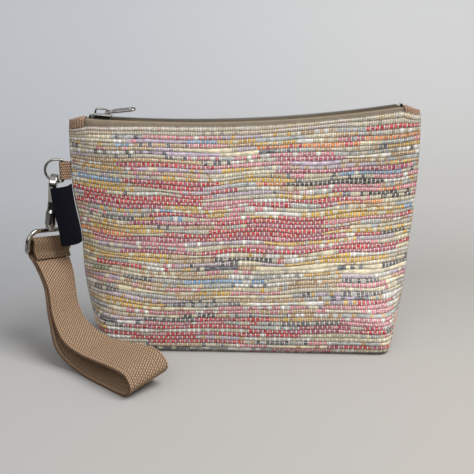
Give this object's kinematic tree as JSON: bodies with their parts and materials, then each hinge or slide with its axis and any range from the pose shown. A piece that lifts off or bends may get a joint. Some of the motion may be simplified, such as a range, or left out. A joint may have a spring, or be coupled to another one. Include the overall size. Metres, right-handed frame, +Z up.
{
  "type": "wristlet pouch",
  "caption": "Zip pouch of woven coloured strips with a boxed base and a webbing wrist strap on a swivel snap hook, hung from a D-ring at the side seam.",
  "frame": {"origin": "on the floor, in the plane of the side seams, midway between them", "axes": "+Z up, +X along the zip toward the end away from the wrist strap, -Y toward the front"},
  "size_m": [0.2597, 0.133, 0.163],
  "materials": {
    "woven_strips": "handwoven strips of reclaimed plastic in many colours",
    "lining_cotton": "plain cotton",
    "beige_tape": "woven polyester tape",
    "bronze_nylon": "dark bronze nylon",
    "tan_webbing": "cotton webbing",
    "nickel": "polished nickel plate",
    "steel": "bright steel",
    "navy_woven": "woven satin, folded"
  },
  "bodies": {
    "pouch": {"front_panel": "woven_strips", "back_panel": "woven_strips", "lining_front": "lining_cotton", "lining_back": "lining_cotton", "zip_tape_front": "beige_tape", "zip_tape_back": "beige_tape", "zip_coil_front": "bronze_nylon", "zip_coil_back": "bronze_nylon", "zip_top_stop_front": "nickel", "zip_top_stop_back": "nickel", "zip_bottom_stop": "bronze_nylon", "zip_end_tab_left": "tan_webbing", "zip_end_tab_right": "tan_webbing", "seam_label": "navy_woven", "side_tab": "tan_webbing"},
    "slider": {"slider_body": "nickel"},
    "pull": {"pull_tab": "nickel"},
    "ring": {"d_ring": "nickel"},
    "hook": {"hook_body": "nickel", "gate_pin": "steel", "gate_spring": "steel"},
    "gate": {"hook_gate": "nickel"},
    "eye": {"swivel_eye": "nickel"},
    "strap": {"wrist_strap": "tan_webbing"}
  },
  "joints": [
    {"name": "slider_travel", "type": "hinge", "parent": "pouch", "child": "slider", "pos_m": [-0.033, 0, 1.0579], "axis": [0, -1, 0], "range_deg": [0, 11.8]},
    {"name": "pull_swing", "type": "hinge", "parent": "slider", "child": "pull", "pos_m": [-0.09012, 0, 0.15721], "axis": [0, -1, 0], "range_deg": [-8, 115]},
    {"name": "ring_swing", "type": "hinge", "parent": "pouch", "child": "ring", "pos_m": [-0.1202, 0, 0.1185], "axis": [0, 0, 1], "range_deg": [-72, 5]},
    {"name": "hook_ride", "type": "hinge", "parent": "ring", "child": "hook", "pos_m": [-0.1248, 0, 0.1185], "axis": [0, 1, 0], "range_deg": [0, 60]},
    {"name": "gate_swing", "type": "hinge", "parent": "hook", "child": "gate", "pos_m": [-0.12763, 0.00079, 0.1013], "axis": [0.9917, 0, -0.1289], "range_deg": [0, 35], "stiffness_Nm_per_rad": 0.02, "springref_deg": -17.19},
    {"name": "eye_swivel", "type": "hinge", "parent": "hook", "child": "eye", "pos_m": [-0.13012, -0.00236, 0.08215], "axis": [-0.1285, -0.0797, -0.9885], "range_deg": [-8, 30]},
    {"name": "strap_swing", "type": "hinge", "parent": "eye", "child": "strap", "pos_m": [-0.13237, -0.00376, 0.0648], "axis": [-0.6024, -0.7855, 0.1417], "range_deg": [0, 60]}
  ]
}
